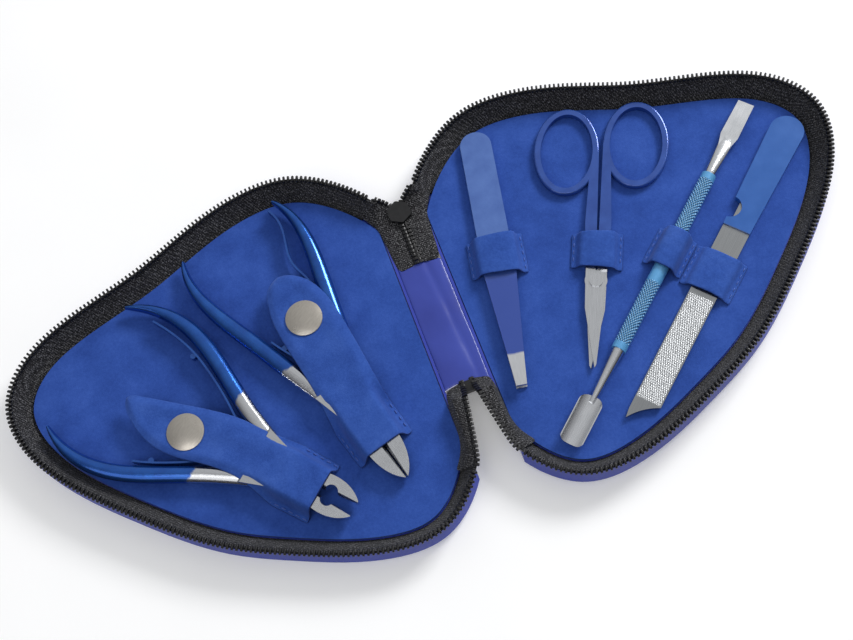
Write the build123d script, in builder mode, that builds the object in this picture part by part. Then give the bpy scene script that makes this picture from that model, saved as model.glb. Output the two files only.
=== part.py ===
from build123d import *
from math import cos, radians, sin
import os

os.makedirs("parts", exist_ok=True)

# The case lies open on the table: the spine runs along Y at X = 0, one leaf lies on each side, Z = 0 is the table.
# Every size is in millimetres.

# Layers of a leaf, from the table up
cover_t = 1.0
board_t = 1.0
lining_t = 1.2
board_z = cover_t
lining_z = board_z + board_t
lining_top = lining_z + lining_t

# The fold lines run along both edges of the spine strip, level with the linings
spine_w = 14.0
fold_x = spine_w / 2
strip_t = 0.8
strip_near_y = -24.0
strip_far_y = 20.0
fold_bead_w = 0.8

# Outline of the right leaf at the row of teeth, round from the spine side
heart_points = [
    (-5, 2), (-2.8, -30.5), (2.9, -44.5), (10.1, -56.1), (21.5, -64.6), (37.8, -65), (64.5, -55.5), (81.7, -46.8),
    (104.6, -28.3), (121.6, -11), (131.6, 6), (132.7, 18.8), (126, 30), (109.1, 39.4), (82.7, 47.2), (63.8, 54.8),
    (45, 59.7), (30, 59), (16, 51), (4.4, 37.5), (-2.5, 22),
]
heart_reach = 150.0

# The longest tool sets the size of the case: the outline and the tools' places are drawn for one of this length
pusher_len = 124.0
drawn_for_len = 124.0
case_size = max(1.0, pusher_len / drawn_for_len)

# Cover rim, zip tape and teeth, given as steps inward from that outline
rim_h = 5.6
rim_foot_in = 1.9
rim_bulge_in = -0.9
rim_bulge_z = 2.6
rim_top_in = 0.75
rim_gap = 0.12
tape_t = 0.7
tape_lean = 4.8
tape_gap = 0.2
tooth_h = 1.35
tooth_w = 2.0
tooth_len = 1.3
tooth_pitch = 2.8
teeth_gap = 0.3
teeth_top = lining_top + fold_x - teeth_gap / 2
tape_top = teeth_top - tooth_h - 0.05
tape_foot_edge = fold_x + 0.15
tape_top_edge = fold_x - 1.4
tape_start_near = -30.0
tape_start_far = 39.5
tape_start_x = 14.0
board_in = tape_lean + tape_t + 0.4
lining_in = tape_lean + tape_t + tape_gap
inner_edge = fold_x + fold_bead_w + 0.3


def outline_points(grow):
    """The leaf's outline points, each moved outward by grow."""
    count = len(heart_points)
    moved = []
    for i in range(count):
        before = Vector(*heart_points[i - 1])
        after = Vector(*heart_points[(i + 1) % count])
        along = (after - before).normalized()
        moved.append(Vector(*heart_points[i]) * case_size + Vector(along.Y, -along.X) * grow)
    return moved


def heart(z, grow, edge):
    """A flat leaf outline at height z, cut straight along X = edge on the spine side."""
    with BuildSketch(Plane.XY.offset(z)) as outline:
        with BuildLine():
            Spline(*outline_points(grow), periodic=True)
        make_face()
        with Locations((edge - heart_reach / 2, 0)):
            Rectangle(heart_reach, 2 * heart_reach, mode=Mode.SUBTRACT)
    return outline.sketch.face()


def mirrored(piece):
    """The left leaf's copy of a piece of the right leaf."""
    return mirror(piece, about=Plane.YZ)


# Covers: glossy vinyl shells with a rolled rim, and a bead along the fold line that the strip is welded to
with BuildPart() as right_cover:
    loft(
        [heart(0, -rim_foot_in, fold_x), heart(rim_bulge_z, -rim_bulge_in, fold_x), heart(rim_h, -rim_top_in, fold_x)],
        ruled=True,
    )
    lean_at_top = tape_lean * (rim_h - cover_t) / (tape_top - cover_t - 0.05)
    hollow_foot = heart(cover_t, rim_gap - tape_lean, fold_x - 2)
    hollow_top = heart(rim_h, rim_gap - tape_lean + lean_at_top, fold_x - 2)
    loft([hollow_foot, hollow_top], ruled=True, mode=Mode.SUBTRACT)
    bead_near = tape_start_near + 0.5
    bead_far = tape_start_far - 7
    with Locations((fold_x, bead_near, 0)):
        Box(fold_bead_w, bead_far - bead_near, lining_top, align=(Align.MIN, Align.MIN, Align.MIN))

with BuildPart() as left_cover:
    add(mirrored(right_cover.part))

with BuildPart() as right_board:
    add(heart(board_z, -board_in, inner_edge))
    extrude(amount=board_t)

with BuildPart() as left_board:
    add(mirrored(right_board.part))

with BuildPart() as right_lining:
    add(heart(lining_z, -lining_in, inner_edge))
    extrude(amount=lining_t)

with BuildPart() as left_lining:
    add(mirrored(right_lining.part))

# Zip tape: a woven wall that leans outward all round a leaf, open where the spine is
with BuildPart() as right_zip_tape:
    tape_foot = cover_t + 0.05
    loft([heart(tape_foot, -tape_lean, tape_foot_edge), heart(tape_top, 0, tape_top_edge)], ruled=True)
    loft(
        [
            heart(tape_foot, -tape_lean - tape_t, tape_foot_edge + tape_t),
            heart(tape_top, -tape_t, tape_top_edge + tape_t),
        ],
        ruled=True,
        mode=Mode.SUBTRACT,
    )
    with Locations((0, tape_start_near, 0)):
        Box(
            tape_start_x,
            tape_start_far - tape_start_near,
            2 * teeth_top,
            align=(Align.MIN, Align.MIN, Align.CENTER),
            mode=Mode.SUBTRACT,
        )

with BuildPart() as left_zip_tape:
    add(mirrored(right_zip_tape.part))


def tooth_places():
    """Where the moulded teeth sit along the top of the right leaf's tape."""
    row = heart(teeth_top - tooth_h / 2, -tape_t / 2, tape_top_edge + tape_t / 2).outer_wire()
    places = []
    for i in range(int(row.length / tooth_pitch)):
        at = row.position_at(i * tooth_pitch, position_mode=PositionMode.LENGTH)
        along = row.tangent_at(i * tooth_pitch, position_mode=PositionMode.LENGTH)
        by_spine = at.X < tape_start_x and tape_start_near - 1 < at.Y < tape_start_far + 1
        if at.X > fold_x and not by_spine:
            places.append(Plane(origin=at, x_dir=along, z_dir=(0, 0, 1)).location)
    return places


with BuildPart() as right_zip_teeth:
    with Locations(*tooth_places()):
        Box(tooth_len, tooth_w, tooth_h)

with BuildPart() as left_zip_teeth:
    add(mirrored(right_zip_teeth.part))

# Spine strip, the tapes at its two ends, the short closed length of chain and the stop
gusset_x = fold_x - 0.1
chain_z = 4.0
chain_t = 2.0
chain_half = 1.9
gusset_t = 0.5
gusset_slot = chain_half + 0.3
gusset_far_y = 38.6
gusset_shoulder_y = 33.0
chain_far_y = 33.0
slider_y = 35.2

with BuildPart() as spine_strip:
    with Locations((0, strip_near_y, lining_top)):
        Box(spine_w, strip_far_y - strip_near_y, strip_t, align=(Align.CENTER, Align.MIN, Align.MAX))

with BuildPart() as far_gusset:
    with BuildSketch(Plane.XY.offset(chain_z - gusset_t / 2)):
        with BuildLine():
            Polyline(
                (gusset_slot, strip_far_y + 0.3),
                (gusset_x, strip_far_y + 0.3),
                (gusset_x, gusset_shoulder_y),
                (gusset_slot + 1, gusset_far_y),
                (gusset_slot, gusset_far_y),
                close=True,
            )
        make_face()
        mirror(about=Plane.YZ)
    extrude(amount=gusset_t)

with BuildPart() as near_gusset:
    with BuildSketch(Plane.XY.offset(chain_z - gusset_t / 2)):
        with BuildLine():
            Polyline(
                (gusset_slot, strip_near_y - 0.3),
                (gusset_x, strip_near_y - 0.3),
                (gusset_x, tape_start_near + 0.6),
                (gusset_slot + 1.5, tape_start_near + 0.6),
                (gusset_slot, tape_start_near + 3),
                close=True,
            )
        make_face()
        mirror(about=Plane.YZ)
    extrude(amount=gusset_t)

with BuildPart() as closed_zip_chain:
    pairs = int((chain_far_y - strip_far_y) / (tooth_pitch / 1.4))
    with Locations((0, (strip_far_y + chain_far_y) / 2, chain_z)):
        with GridLocations(0, tooth_pitch / 1.4, 1, pairs):
            Box(2 * chain_half, tooth_len, chain_t)

with BuildPart() as bottom_stop:
    with Locations((0, strip_near_y - 2.4, chain_z)):
        Box(2 * chain_half, 3.4, chain_t)
    fillet(bottom_stop.edges().filter_by(Axis.Z), 0.6)

# Zip slider and the pull tab that hangs from its outer side
slider_r = 4.0
slider_plate_t = 0.8
slider_gap = 0.3
slider_top = chain_z + chain_t / 2 + slider_gap
slider_low = chain_z - chain_t / 2 - slider_gap
lip_gap = 0.25
tab_pin_z = 0.9
tab_pin_r = 0.4
tab_t = 0.8
tab_w = 5.2
tab_len = 20.0
lug_half = 1.0
side_gap = 0.3

with BuildPart() as zip_slider:
    for plate_z in (slider_top, slider_low - slider_plate_t):
        with BuildSketch(Plane.XY.offset(plate_z)) as slider_plate:
            with Locations((0, slider_y)):
                RegularPolygon(slider_r, 6, rotation=30)
            fillet(slider_plate.vertices(), 0.9)
        extrude(amount=slider_plate_t)
    with Locations((0, slider_y + slider_r - 1.1, chain_z)):
        Box(1.6, 1.6, slider_top - slider_low + slider_plate_t)
    with Locations((slider_r - 1.0, slider_y - 0.6, chain_z), (1.0 - slider_r, slider_y - 0.6, chain_z)):
        Box(0.6, 3.4, slider_top - slider_low + slider_plate_t)
        Box(1.0, 3.6, gusset_t + 2 * lip_gap, mode=Mode.SUBTRACT)
    with Locations((0, slider_y, slider_low)):
        Box(2 * lug_half, 2.2, slider_low - 0.2, align=(Align.CENTER, Align.CENTER, Align.MAX))
    with Locations(Plane(origin=(0, slider_y, tab_pin_z), z_dir=(1, 0, 0))):
        Cylinder(tab_pin_r + 0.06, 4 * lug_half, mode=Mode.SUBTRACT)

with BuildPart() as zip_pull_tab:
    tab_inner = lug_half + side_gap
    with BuildSketch(Plane.XY.offset(tab_pin_z - tab_t)) as tab_plan:
        with Locations((0, slider_y)):
            Rectangle(tab_w, tab_len, align=(Align.CENTER, Align.MAX))
        fillet(tab_plan.vertices().group_by(Axis.Y)[0], 1.6)
        with Locations((0, slider_y)):
            Rectangle(2 * tab_inner, 4, mode=Mode.SUBTRACT)
    extrude(amount=tab_t)
    for side in (1, -1):
        cheek_x = side * (tab_inner + tab_w / 2) / 2
        with Locations(Plane(origin=(cheek_x, slider_y, tab_pin_z), z_dir=(1, 0, 0))):
            Cylinder(tab_t, tab_w / 2 - tab_inner)
    with Locations(Plane(origin=(0, slider_y, tab_pin_z), z_dir=(1, 0, 0))):
        Cylinder(tab_pin_r, 2 * tab_inner + 0.5)


def tool_frame(at, tip, z):
    """A tool's own frame: X runs from at towards its tip, Z up."""
    place = (at[0] * case_size, at[1] * case_size, z)
    return Plane(origin=place, x_dir=(tip[0] - at[0], tip[1] - at[1], 0), z_dir=(0, 0, 1))


# Nippers: two crossing halves that share a lap joint and a flush pin, shown along X with the pin at the origin
joint_t = 6.0
joint_r = 5.5
joint_gap = 0.1
joint_clear = 0.3
nipper_lift = 0.3
pin_r = 1.6
pin_clear = 0.05
handle_t = 4.4
root_u = -12.0
seam = 0.12
notch_r = 2.0
edge_bevel = 2.4
nipper_z = lining_top + nipper_lift + joint_t / 2
flip = Location((0, 0, 0), (180, 0, 0))

nipper_a_pivot = (-32.7, -23.1)
nipper_a_tip = (-26.3, -46.2)
nipper_a_gape = 0.0
nipper_a_notch = 9.0
nipper_a_jaw = [(12, 5.3), (18, 4.3), (22, 2.3), (24, 0.5)]
nipper_a_handle = [(-9, -4.9), (-20, -8.4), (-31, -11.6), (-43, -15), (-54, -18), (-65, -19.3), (-75.5, -17)]
nipper_a_frame = tool_frame(nipper_a_pivot, nipper_a_tip, nipper_z)

nipper_b_pivot = (-58.4, -32.7)
nipper_b_tip = (-44, -49.3)
nipper_b_gape = 4.5
nipper_b_notch = 14.2
nipper_b_jaw = [(10, 4.4), (15, 4.6), (19, 3.4), (22.5, 0.7)]
nipper_b_handle = [(-9, -5.6), (-20, -10.4), (-31, -16), (-43, -22), (-55, -25.4), (-65, -25), (-74, -21.6)]
nipper_b_frame = tool_frame(nipper_b_pivot, nipper_b_tip, nipper_z)

handle_half_widths = [2.9, 2.7, 2.6, 2.6, 2.4, 1.8, 0.5]


def handle_bar(path):
    """A rounded handle swept through path, thickest at the joint and pointed at its end."""
    with BuildLine() as line:
        Spline(*path)
    sections = []
    last = len(path) - 1
    for i, half_width in enumerate(handle_half_widths):
        t = i / last
        with BuildSketch(Plane(origin=line.line @ t, x_dir=(0, 0, 1), z_dir=line.line % t)) as section:
            Ellipse(handle_t / 2 if i < last else handle_t / 5, half_width)
        sections.append(section.sketch.face())
    with BuildPart() as bar:
        loft(sections)
    return bar.part


def jaw(points, gape, notch_u):
    """One jaw on the +Y side of the seam, thinner towards its tip, hooked in front of a notch."""
    tip_u = points[-1][0]
    with BuildPart() as piece:
        with BuildSketch(Plane.XY.offset(-joint_t / 2)):
            with BuildLine():
                Polyline((4, seam), (4, points[0][1]), points[0])
                Spline(*points)
                Polyline(points[-1], (tip_u, seam), (4, seam))
            make_face()
        extrude(amount=joint_t)
        with BuildSketch(Plane.XZ):
            with BuildLine():
                Polyline(
                    (0, -joint_t / 2), (9, -joint_t / 2), (tip_u + 1, -1.2), (tip_u + 1, 1.2), (9, joint_t / 2),
                    (0, joint_t / 2), close=True,
                )
            make_face()
        extrude(amount=3 * joint_r, both=True, mode=Mode.INTERSECT)
        with Locations((notch_u, seam)):
            Cylinder(notch_r, 2 * joint_t, mode=Mode.SUBTRACT)
        with BuildSketch(Plane(origin=(0, 0, 0), x_dir=(0, 1, 0), z_dir=(1, 0, 0))):
            Polygon((edge_bevel, joint_t), (0, joint_t), (0, 0.4), align=None)
            Polygon((edge_bevel, -joint_t), (0, -joint_t), (0, -0.4), align=None)
        extrude(amount=tip_u + 1, mode=Mode.SUBTRACT)
    return piece.part.moved(Location((0, 0, 0), (0, 0, gape)))


def nipper_half(jaw_points, gape, path, notch_u):
    """The half whose jaw is on +Y, whose handle is on -Y and whose plate is the upper one of the joint."""
    root_in = -(0.3 + joint_r * sin(radians(gape)))
    with BuildPart() as half:
        add(jaw(jaw_points, gape, notch_u))
        with BuildSketch(Plane.XY.offset(-joint_t / 2)):
            Circle(joint_r)
            with BuildLine():
                Polyline(
                    (0, -joint_r + 0.2), (root_u, path[0][1] - 3.6), (root_u, path[0][1] + 1.2), (-joint_r, root_in),
                    (-1, root_in), close=True,
                )
            make_face()
        extrude(amount=joint_t)
        chamfer_edges = half.edges().filter_by_position(Axis.X, root_u - 0.1, root_u + 0.1).filter_by(Axis.Y)
        chamfer(chamfer_edges, (joint_t - handle_t) / 2)
        add(handle_bar(path))
        with Locations((0, 0, joint_gap)):
            Cylinder(
                joint_r + joint_clear, joint_t, align=(Align.CENTER, Align.CENTER, Align.MAX), mode=Mode.SUBTRACT
            )
        Cylinder(pin_r + pin_clear, 2 * joint_t, mode=Mode.SUBTRACT)
    return half.part


with BuildPart() as nipper_a_upper_half:
    add(nipper_half(nipper_a_jaw, nipper_a_gape, nipper_a_handle, nipper_a_notch).moved(nipper_a_frame.location))

with BuildPart() as nipper_a_lower_half:
    add(nipper_half(nipper_a_jaw, nipper_a_gape, nipper_a_handle, nipper_a_notch).moved(nipper_a_frame.location * flip))

with BuildPart() as nipper_a_pin:
    with Locations(nipper_a_frame.location):
        Cylinder(pin_r, joint_t)

with BuildPart() as nipper_b_upper_half:
    add(nipper_half(nipper_b_jaw, nipper_b_gape, nipper_b_handle, nipper_b_notch).moved(nipper_b_frame.location))

with BuildPart() as nipper_b_lower_half:
    add(nipper_half(nipper_b_jaw, nipper_b_gape, nipper_b_handle, nipper_b_notch).moved(nipper_b_frame.location * flip))

with BuildPart() as nipper_b_pin:
    with Locations(nipper_b_frame.location):
        Cylinder(pin_r, joint_t)

# Leaf springs: each is riveted to the inner side of its handle and bears on the other one near the joint
spring_t = 0.6
spring_h = 3.0
rivet_r = 0.9
rivet_h = 2.0


def beside(path, step):
    """The points of path, each moved sideways by step."""
    moved = []
    last = len(path) - 1
    for i in range(last + 1):
        along = (Vector(*path[min(i + 1, last)]) - Vector(*path[max(i - 1, 0)])).normalized()
        moved.append(Vector(*path[i]) + Vector(along.Y, -along.X) * step)
    return moved


def spring_strip(path, rivet_at):
    """A thin upright strip along path, with a round rivet on its inner side."""
    with BuildPart() as strip:
        with BuildSketch(Plane.XY.offset(-spring_h / 2)):
            with BuildLine():
                outer = beside(path, spring_t / 2)
                inner = beside(path, -spring_t / 2)
                Spline(*outer)
                Line(outer[-1], inner[-1])
                Spline(*reversed(inner))
                Line(inner[0], outer[0])
            make_face()
        extrude(amount=spring_h)
        with Locations(rivet_at):
            Cylinder(rivet_r, rivet_h)
    return strip.part


with BuildPart() as nipper_a_upper_spring:
    upper_path_a = [(-35, -9.1), (-27, -6.2), (-19, -3.2), (-12, -1.4)]
    add(spring_strip(upper_path_a, (-31, -6.9)).moved(nipper_a_frame.location))

with BuildPart() as nipper_a_lower_spring:
    lower_path_a = [(-73, 14.2), (-64, 14), (-53, 10.4), (-45, 11.3), (-36, 9.3), (-24, 4.8), (-12, 1.4)]
    add(spring_strip(lower_path_a, (-43.2, 10.9)).moved(nipper_a_frame.location))

with BuildPart() as nipper_b_upper_spring:
    upper_path_b = [(-44, -18.4), (-37, -15.4), (-29, -11), (-20, -5.4), (-12, -1.6)]
    add(spring_strip(upper_path_b, (-39, -15.6)).moved(nipper_b_frame.location))

with BuildPart() as nipper_b_lower_spring:
    lower_path_b = [(-63, 21.6), (-54, 20.8), (-45, 18.6), (-37, 15.2), (-29, 11), (-20, 5.4), (-12, 1.6)]
    add(spring_strip(lower_path_b, (-45.5, 17.8)).moved(nipper_b_frame.location))

# Soft sleeves over the jaws, and the flaps that snap shut over the handles
leather_t = 0.8
sleeve_clear = 0.2
sleeve_h = nipper_lift + joint_t + sleeve_clear
flap_z = lining_top + sleeve_h
flap_drop = 0.8
flap_gap = 0.3
foot_w = 2.0
nipper_a_sleeve = [(0, 7.6), (13, 7.4)]
nipper_b_sleeve = [(-2, 8.0), (11.5, 7.7)]
nipper_a_flap = [
    (-3.7, 9.5), (-24, 12.5), (-35, 13.2), (-46.2, 10.6), (-51.7, 4.8), (-48.9, -1.8), (-37.7, -5.9), (-19.4, -6.9),
]
nipper_b_flap = [
    (-11, 7.2), (-21, 7.9), (-31, 5.8), (-43, 2.3), (-54.7, -1.1), (-56.4, -4), (-49, -9.4), (-40.9, -12),
    (-32.3, -11.7), (-22, -9), (-12, -7.4),
]
nipper_a_snap = (-34.5, 3.1)
nipper_b_snap = (-33.5, -3.7)


def arch(half, height, u, foot):
    """The outline of a leather arch with flat feet, standing across X = u."""
    with BuildSketch(Plane(origin=(u, 0, 0), x_dir=(0, 1, 0), z_dir=(1, 0, 0))) as outline:
        with BuildLine():
            right = [
                (half + foot, 0),
                (half + foot, leather_t),
                (half + 0.4, leather_t),
                (half - 1.1, height + leather_t),
            ]
            inner = [(half - 1.9, height), (half - 0.4, 0)]
            left = [(-x, y) for x, y in reversed(right)]
            left_inner = [(-x, y) for x, y in reversed(inner)]
            Polyline(*right, *left, *left_inner, *inner, close=True)
        make_face()
    return outline.sketch.face()


def sleeve(ends):
    """A stitched leather sleeve between the two arches in ends."""
    with BuildPart() as piece:
        loft([arch(half, sleeve_h, u, foot_w) for u, half in ends], ruled=True)
    return piece.part


def flap(points, back_u, back_half, snap_at):
    """A leather tongue that starts at the sleeve's back edge and steps down past the joint."""
    with BuildPart() as piece:
        with BuildSketch():
            with BuildLine():
                Spline((back_u, back_half), *points, (back_u, -back_half))
                Line((back_u, -back_half), (back_u, back_half))
            make_face()
            with Locations(snap_at):
                Circle(snap_post_r + 0.2, mode=Mode.SUBTRACT)
        extrude(amount=sleeve_h + 2 * leather_t)
        with BuildSketch(Plane.XZ):
            with BuildLine():
                top = [
                    (back_u + 1, sleeve_h + leather_t),
                    (-12, sleeve_h + leather_t),
                    (-20, sleeve_h + leather_t - flap_drop),
                    (-70, sleeve_h + leather_t - flap_drop),
                ]
                low = [(x, y - leather_t) for x, y in reversed(top)]
                Polyline(*top, *low, close=True)
            make_face()
        extrude(amount=40, both=True, mode=Mode.INTERSECT)
    return piece.part


# Press studs: a domed cap and a socket on the flap, a stud on the lining
cap_r = 5.7
cap_rim = 0.3
cap_dome = 0.8
snap_post_r = 1.5
socket_r = 3.6
socket_h = 2.7
stud_r = 1.6
ball_r = 2.0
snap_clear = 0.3
stud_flange_r = 4.4
stud_flange_t = 0.5
flap_low = sleeve_h - flap_drop


def snap_cap():
    """Cap standing on Z = 0, with its post going down through the leather."""
    with BuildPart() as piece:
        with BuildSketch(Plane.XZ):
            with BuildLine():
                Polyline((0, 0), (cap_r, 0), (cap_r, cap_rim))
                RadiusArc((cap_r, cap_rim), (0, cap_rim + cap_dome), -(cap_r**2 + cap_dome**2) / (2 * cap_dome))
                Line((0, cap_rim + cap_dome), (0, 0))
            make_face()
        revolve(axis=Axis.Z)
        Cylinder(snap_post_r, leather_t, align=(Align.CENTER, Align.CENTER, Align.MAX))
    return piece.part


def snap_socket():
    """Socket hanging down from Z = 0, open below for the stud's ball."""
    with BuildPart() as piece:
        Cylinder(socket_r, socket_h, align=(Align.CENTER, Align.CENTER, Align.MAX))
        with Locations((0, 0, -socket_h)):
            bore_depth = socket_h - 0.4
            Cylinder(ball_r + snap_clear, bore_depth, align=(Align.CENTER, Align.CENTER, Align.MIN), mode=Mode.SUBTRACT)
    return piece.part


def snap_stud(height):
    """Stud standing on Z = 0, its ball reaching up into the socket."""
    with BuildPart() as piece:
        Cylinder(stud_flange_r, stud_flange_t, align=(Align.CENTER, Align.CENTER, Align.MIN))
        Cylinder(stud_r, height - 0.6, align=(Align.CENTER, Align.CENTER, Align.MIN))
        with Locations((0, 0, height - ball_r)):
            Cylinder(ball_r, 1.4)
    return piece.part


stud_h = flap_low - 0.4 - 0.4


def on_lining(frame):
    """The same tool frame, level with the top of the lining."""
    return Plane(origin=(frame.origin.X, frame.origin.Y, lining_top), x_dir=frame.x_dir, z_dir=(0, 0, 1))


lining_a = on_lining(nipper_a_frame)
lining_b = on_lining(nipper_b_frame)
cap_a = lining_a.location * Location((*nipper_a_snap, flap_low + leather_t))
cap_b = lining_b.location * Location((*nipper_b_snap, flap_low + leather_t))
socket_a = lining_a.location * Location((*nipper_a_snap, flap_low))
socket_b = lining_b.location * Location((*nipper_b_snap, flap_low))

with BuildPart() as nipper_a_sleeve_piece:
    add(sleeve(nipper_a_sleeve).moved(lining_a.location))

with BuildPart() as nipper_b_sleeve_piece:
    add(sleeve(nipper_b_sleeve).moved(lining_b.location))

with BuildPart() as nipper_a_flap_piece:
    back_a = nipper_a_sleeve[0]
    add(flap(nipper_a_flap, back_a[0] - flap_gap, back_a[1], nipper_a_snap).moved(lining_a.location))

with BuildPart() as nipper_b_flap_piece:
    back_b = nipper_b_sleeve[0]
    add(flap(nipper_b_flap, back_b[0] - flap_gap, back_b[1], nipper_b_snap).moved(lining_b.location))

with BuildPart() as nipper_a_snap_cap:
    add(snap_cap().moved(cap_a))

with BuildPart() as nipper_b_snap_cap:
    add(snap_cap().moved(cap_b))

with BuildPart() as nipper_a_snap_socket:
    add(snap_socket().moved(socket_a))

with BuildPart() as nipper_b_snap_socket:
    add(snap_socket().moved(socket_b))

with BuildPart() as nipper_a_snap_stud:
    add(snap_stud(stud_h).moved(lining_a.location * Location((*nipper_a_snap, 0))))

with BuildPart() as nipper_b_snap_stud:
    add(snap_stud(stud_h).moved(lining_b.location * Location((*nipper_b_snap, 0))))

# Tweezers: two flat arms that meet at the head and stand a little apart at the tips
tweezers_head = (31.6, 52.6)
tweezers_tip = (14.5, -32.7)
tweezers_len = 87.0
tweezers_half = 5.0
tweezers_tip_half = 1.6
tweezers_arm_t = 1.0
tweezers_gap = 1.8
tweezers_taper_u = tweezers_len - 37.0
tweezers_neck_u = tweezers_len - 7.0
rest_gap = 0.2
tweezers_frame = tool_frame(tweezers_head, tweezers_tip, lining_top)


def tweezers_arm(foot_z, tip_z):
    """A flat arm whose underside rises from foot_z at the head to tip_z at the tip."""
    with BuildPart() as arm:
        with BuildSketch():
            with BuildLine():
                ThreePointArc((tweezers_half, tweezers_half), (0, 0), (tweezers_half, -tweezers_half))
                Polyline(
                    (tweezers_half, -tweezers_half),
                    (tweezers_taper_u, -tweezers_half),
                    (tweezers_neck_u, -2.2),
                    (tweezers_len, -tweezers_tip_half),
                    (tweezers_len, tweezers_tip_half),
                    (tweezers_neck_u, 2.2),
                    (tweezers_taper_u, tweezers_half),
                    (tweezers_half, tweezers_half),
                )
            make_face()
        extrude(amount=10)
        with BuildSketch(Plane.XZ):
            with BuildLine():
                Polyline(
                    (0, foot_z), (tweezers_len, tip_z), (tweezers_len, tip_z + tweezers_arm_t),
                    (0, foot_z + tweezers_arm_t), close=True,
                )
            make_face()
        extrude(amount=10, both=True, mode=Mode.INTERSECT)
    return arm.part


with BuildPart() as tweezers_lower_arm:
    add(tweezers_arm(rest_gap, rest_gap).moved(tweezers_frame.location))

with BuildPart() as tweezers_upper_arm:
    arm_foot = rest_gap + tweezers_arm_t
    add(tweezers_arm(arm_foot, arm_foot + tweezers_gap).moved(tweezers_frame.location))

# Scissors: two halves that lap at a slotted screw, shown along X with the screw at the origin
scissor_screw = (47.6, -9.9)
scissor_tip = (35.9, -35.1)
scissor_t = 2.1
scissor_lap_r = 3.4
scissor_blade = 27.8
upper_ring_u = -44.0
lower_ring_u = -47.2
ring_v = 10.8
ring_r_u = 15.2
ring_r_v = 10.3
ring_wire = 2.1
screw_r = 1.0
screw_head_r = 2.1
screw_head_t = 0.5
scissor_frame = tool_frame(scissor_screw, scissor_tip, lining_top + rest_gap + scissor_t / 2)


def scissor_half(ring_u):
    """The half whose ring is on -Y, centred at ring_u, and whose blade is the upper one of the lap."""
    with BuildPart() as half:
        with BuildSketch(Plane.XY.offset(-scissor_t / 2)):
            with Locations((ring_u, -ring_v)):
                Ellipse(ring_r_u, ring_r_v)
        extrude(amount=scissor_t)
        fillet(half.edges(), 0.6)
        with BuildSketch(Plane.XY.offset(-scissor_t / 2)):
            with BuildLine():
                Polyline((ring_u, -3.0), (-19, -4), (-4, -3.2), (0, -3.2), (0, -0.15), (ring_u, -0.6), close=True)
            make_face()
            Circle(scissor_lap_r)
            with BuildLine():
                Polyline((0, -3.2), (9, -3), (scissor_blade, 0.5), (scissor_blade - 1, 1.0))
                Line((scissor_blade - 1, 1.0), (0, 3.2))
                Line((0, 3.2), (0, -3.2))
            make_face()
        extrude(amount=scissor_t)
        with BuildSketch(Plane.XY.offset(-scissor_t)):
            with Locations((ring_u, -ring_v)):
                Ellipse(ring_r_u - ring_wire, ring_r_v - ring_wire)
        extrude(amount=2 * scissor_t, mode=Mode.SUBTRACT)
        with Locations((-scissor_lap_r - joint_clear, 0, joint_gap / 2)):
            Box(60, 20, scissor_t, align=(Align.MIN, Align.CENTER, Align.MAX), mode=Mode.SUBTRACT)
        Cylinder(screw_r + pin_clear, 2 * scissor_t, mode=Mode.SUBTRACT)
    return half.part


with BuildPart() as scissors_upper_half:
    add(scissor_half(upper_ring_u).moved(scissor_frame.location))

with BuildPart() as scissors_lower_half:
    add(scissor_half(lower_ring_u).moved(scissor_frame.location * flip))

with BuildPart() as scissors_screw:
    with Locations(scissor_frame.location):
        Cylinder(screw_r, scissor_t)
    with Locations(scissor_frame.location * Location((0, 0, scissor_t / 2 + 0.05))):
        Cylinder(screw_head_r, screw_head_t, align=(Align.CENTER, Align.CENTER, Align.MIN))
        with Locations((0, 0, screw_head_t / 2)):
            Box(2 * screw_head_r, 0.6, screw_head_t, align=(Align.CENTER, Align.CENTER, Align.MIN), mode=Mode.SUBTRACT)
    with Locations(scissor_frame.location):
        Cylinder(screw_r, scissor_t / 2 + 0.1, align=(Align.CENTER, Align.CENTER, Align.MIN))

# Pusher: a round handle with a flat blade and a cupped spoon plugged into its ends, shown along X from the blade
pusher_start = (114.2, 27.5)
pusher_end = (20.9, -54.0)
pusher_r = 2.3
blade_neck = 28.0
spoon_neck = pusher_len - 32.0
tang_r = 1.2
tang_len = 5.0
tang_clear = 0.05
flat_half = 2.6
flat_t = 1.0
flat_len = 15.0
spoon_len = 16.0
spoon_half = 3.6
spoon_r = 5.0
spoon_t = 0.8
pusher_frame = tool_frame(pusher_start, pusher_end, lining_top + rest_gap + pusher_r)

with BuildPart() as pusher_handle:
    with Locations(pusher_frame.location * Location((blade_neck, 0, 0), (0, 90, 0))):
        Cylinder(pusher_r, spoon_neck - blade_neck, align=(Align.CENTER, Align.CENTER, Align.MIN))
        Cylinder(tang_r + tang_clear, tang_len, align=(Align.CENTER, Align.CENTER, Align.MIN), mode=Mode.SUBTRACT)
    with Locations(pusher_frame.location * Location((spoon_neck, 0, 0), (0, 90, 0))):
        Cylinder(tang_r + tang_clear, tang_len, align=(Align.CENTER, Align.CENTER, Align.MAX), mode=Mode.SUBTRACT)


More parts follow.
